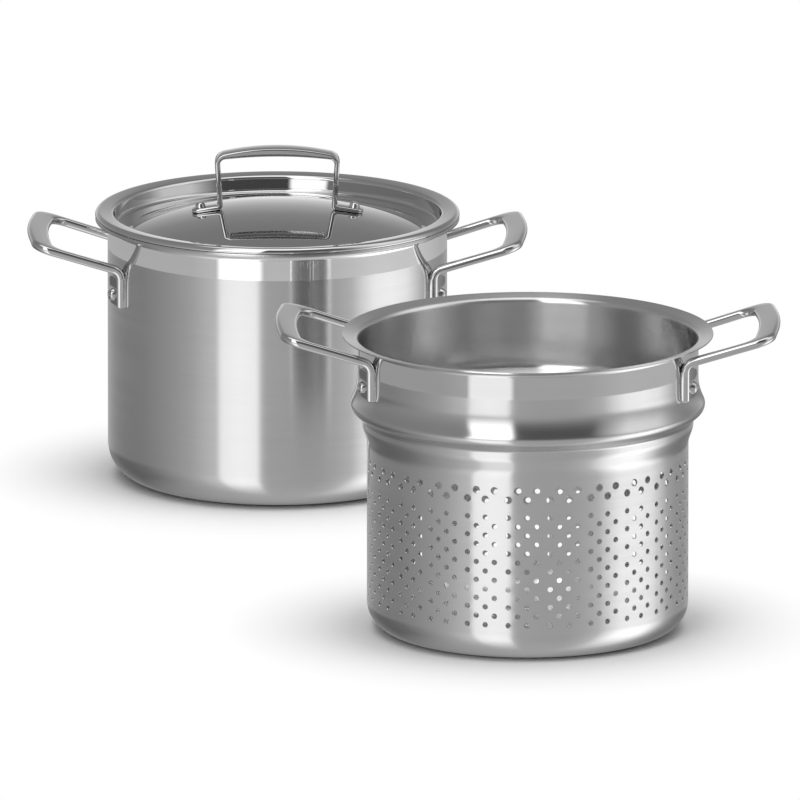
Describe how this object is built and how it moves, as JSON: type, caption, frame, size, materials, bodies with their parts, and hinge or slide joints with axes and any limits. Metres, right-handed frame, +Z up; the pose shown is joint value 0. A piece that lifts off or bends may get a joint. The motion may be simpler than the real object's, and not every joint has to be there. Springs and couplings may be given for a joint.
{
  "type": "pasta pot with strainer insert",
  "caption": "Tall lidded steel pot with loop handles and a perforated strainer insert that hangs in its mouth by a rolled bead, for boiling and draining pasta.",
  "frame": {"origin": "centre of the underside of the pot's base, on the floor it stands on", "axes": "+Z up along the pot's axis, +X to the right along the line through the pot's two handles, +Y away from the viewer"},
  "size_m": [0.5385, 0.748, 0.242],
  "materials": {
    "pot_steel": "brushed round the wall, polished under the lip",
    "lid_steel": "polished",
    "insert_steel": "brushed basket, polished collar",
    "handle_steel": "satin",
    "rivet_steel": "satin"
  },
  "bodies": {
    "pot": {"pot_body": "pot_steel", "pot_handle_left": "handle_steel", "pot_handle_right": "handle_steel", "pot_rivet_left_front": "rivet_steel", "pot_rivet_left_back": "rivet_steel", "pot_rivet_right_front": "rivet_steel", "pot_rivet_right_back": "rivet_steel"},
    "lid": {"lid_shell": "lid_steel", "lid_handle": "handle_steel", "lid_rivet_left": "rivet_steel", "lid_rivet_right": "rivet_steel"},
    "insert": {"insert_basket": "insert_steel", "insert_handle_left": "handle_steel", "insert_handle_right": "handle_steel", "insert_rivet_left_front": "rivet_steel", "insert_rivet_left_back": "rivet_steel", "insert_rivet_right_front": "rivet_steel", "insert_rivet_right_back": "rivet_steel"}
  },
  "joints": [
    {"name": "lid_lift", "type": "slide", "parent": "pot", "child": "lid", "axis": [0, 0, 1], "range_m": [0, 0.2]},
    {"name": "insert_lift", "type": "slide", "parent": "pot", "child": "insert", "axis": [0, 0, 1], "range_m": [0, 0.25]}
  ]
}
